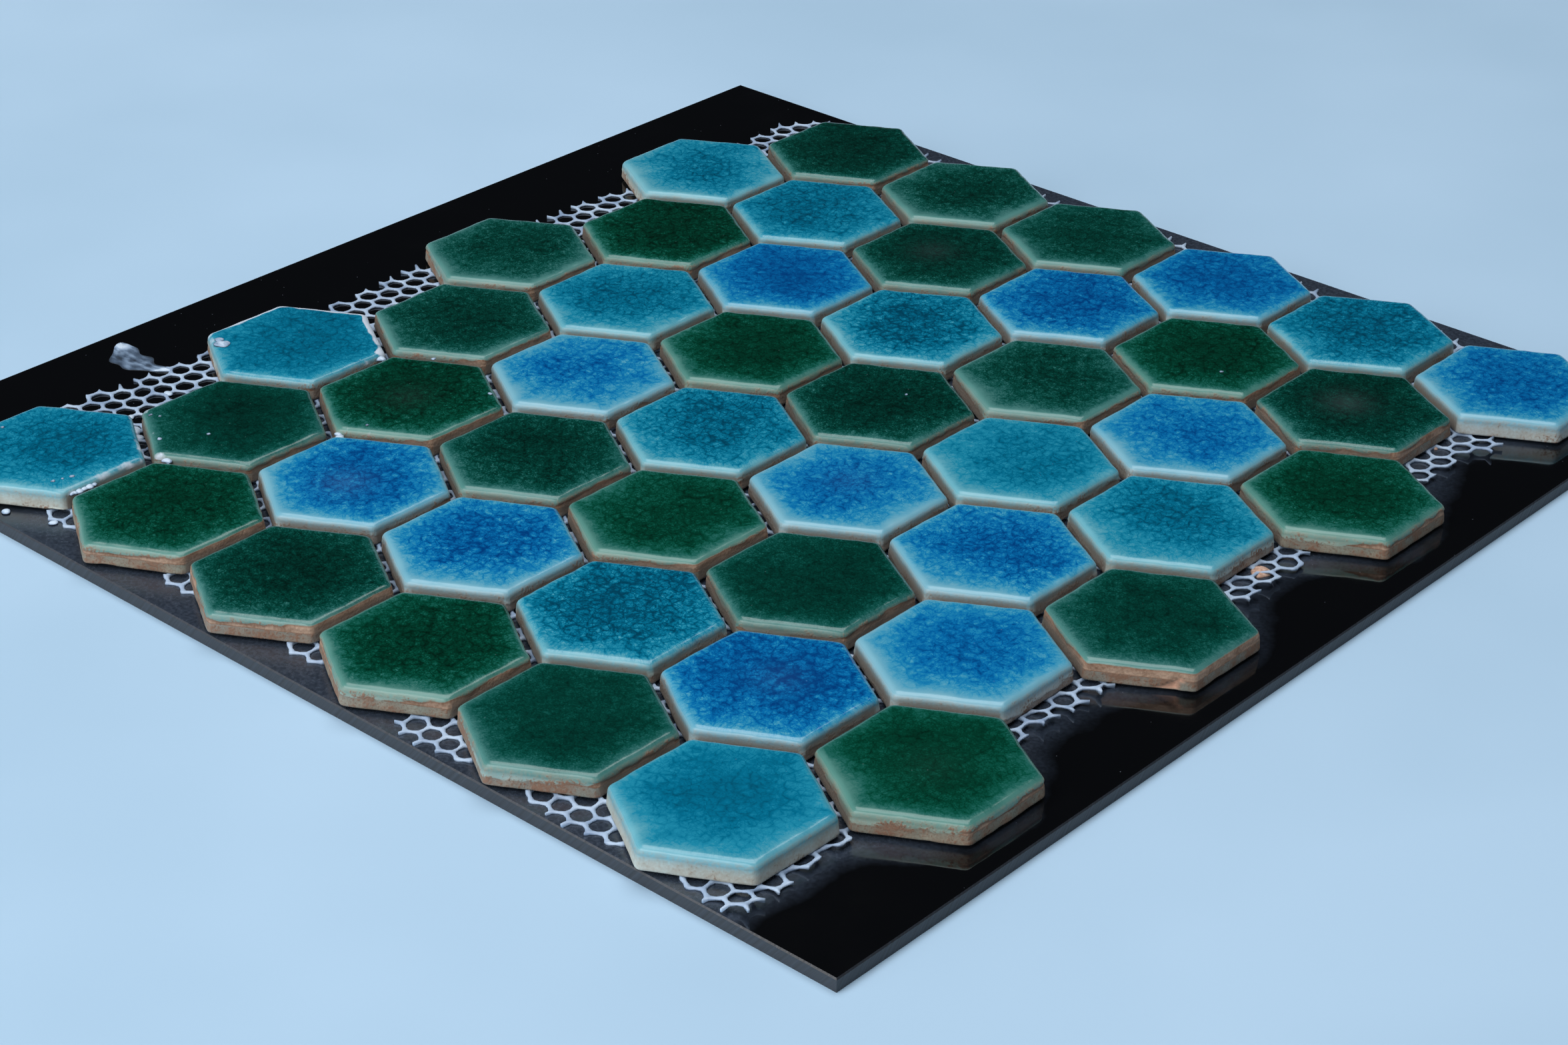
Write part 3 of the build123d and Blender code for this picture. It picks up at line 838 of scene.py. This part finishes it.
grass_green = crackle_glaze(
    "grass_green_crackle_glaze",
    ((0.0, "#C4C1AC"), (1.0, "#00180E"), (0.14, "#95AFA4"), (0.34, "#548880"), (0.50, "#206259"),
     (0.60, "#084E3F"), (0.72, "#013B2B")), (1.0, 0.10, 0.14))
glaze_materials = {
    "green_glaze": crackle_glaze(
        "copper_green_crackle_glaze",
        ((0.0, "#C2C0B0"), (1.0, "#001712"), (0.14, "#92AEA9"), (0.34, "#528783"), (0.50, "#245F5B"),
         (0.60, "#0A4B43"), (0.72, "#023A31")), (0.75, 0.12, 0.18)),
    "teal_glaze": crackle_glaze(
        "turquoise_crackle_glaze",
        ((0.0, "#CACBC0"), (1.0, "#003F58"), (0.14, "#A2C0C2"), (0.34, "#70AFBE"), (0.46, "#4899AF"),
         (0.56, "#1E88A6"), (0.72, "#036C8D")), (1.5, 0.14, 0.10)),
    "blue_glaze": crackle_glaze(
        "cobalt_blue_crackle_glaze",
        ((0.0, "#CACCC6"), (1.0, "#003A78"), (0.14, "#A4C3CC"), (0.34, "#74ADC1"), (0.48, "#4599BA"),
         (0.58, "#1E84B2"), (0.72, "#066AA8")), (1.15, 0.18, 0.09)),
}
slots = {part["node"]: part["material_slot"] for part in frame["record"]["subparts"]}
tile_nodes = sorted(node for node in slots if node.startswith("tile_"))
tile_middles = np.array([tile_middle(node) for node in tile_nodes])
for seed, node in enumerate(tile_nodes):
    grassy = node.removeprefix("tile_") in GRASSY
    lay_tile(node, slots[node], grass_green if grassy else glaze_materials[slots[node]], seed, tile_middles)

net_low, net_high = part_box("backing_net")
net_floor, net_top = net_low.z / MM, net_high.z / MM
net_points, net_faces = net_shape(*sheet_axes(), net_floor, net_top - net_floor)
net = mesh_piece("honeycomb_net", net_points, net_faces, net_plastic())
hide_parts("backing_net")

adhesive = dried_adhesive()
smear_points, smear_faces, smear_fields = smear_shape(net_floor)
smear = mesh_piece("adhesive_smear", smear_points, smear_faces, adhesive, smear_fields)
DROP_SINK = 0.06
face_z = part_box("tile_c2")[1].z / MM - DROP_SINK
# Each drop's place on the board and its radius, in mm
drops_on_tiles = (
    (-119.0, -68.2, 1.9), (-121.0, -67.6, 1.2), (-101.8, -103.6, 0.5), (-99.8, -102.6, 0.35),
    (-91.0, -109.7, 0.6), (-84.4, -100.6, 0.5), (-61.1, -73.1, 0.45), (-75.3, -39.4, 0.6),
    (-92.2, -138.5, 0.5), (-91.5, -136.4, 0.35), (-90.8, -134.2, 0.6), (-121.9, -130.5, 0.5),
    (-52.0, -43.0, 0.6), (20.4, 23.0, 0.4), (68.0, 83.0, 0.5))
drops_in_joints = (
    (-83.4, -113.6, 1.3), (-81.4, -115.0, 0.9), (-62.8, -80.0, 1.3), (-64.8, -79.0, 0.9),
    (-86.9, -46.2, 1.3), (-86.5, -137.4, 1.0), (-86.5, -136.0, 1.1), (-86.4, -134.6, 1.0),
    (-86.5, -133.2, 1.2), (-86.6, -131.8, 0.9))
drops_on_net = (
    (-109.6, -105.4, 1.5), (-106.4, -105.0, 1.8), (-103.2, -106.8, 1.4), (-112.8, -101.4, 1.0),
    (-84.6, -144.5, 1.0), (-116.0, -88.0, 1.2), (-96.4, -148.6, 1.1))
drops = [(x, y, face_z, radius, 0.16 * radius + 0.12) for x, y, radius in drops_on_tiles]
drops += [(x, y, face_z - 1.5, radius, 0.5 * radius) for x, y, radius in drops_in_joints]
drops += [(x, y, net_floor + 0.2, radius, 0.5 * radius) for x, y, radius in drops_on_net]
drop_points, drop_faces, drop_fields = lump_shape(drops, 21)
drop_piece = mesh_piece("adhesive_drops", drop_points, drop_faces, adhesive, drop_fields)
# Each crumb's middle on the board's face, its radius and its height, in mm
crumbs = ((125.0, 18.0, net_floor, 2.4, 1.0), (121.5, 93.0, net_floor, 0.7, 0.5))
crumb_points, crumb_faces, crumb_fields = lump_shape(crumbs, 22)
crumb_piece = mesh_piece("clay_crumbs", crumb_points, crumb_faces, pressed_clay(), crumb_fields)

black_sheet = board_plastic()
for board_slot in frame["nodes"]["backing_board"].material_slots:
    board_slot.material = black_sheet
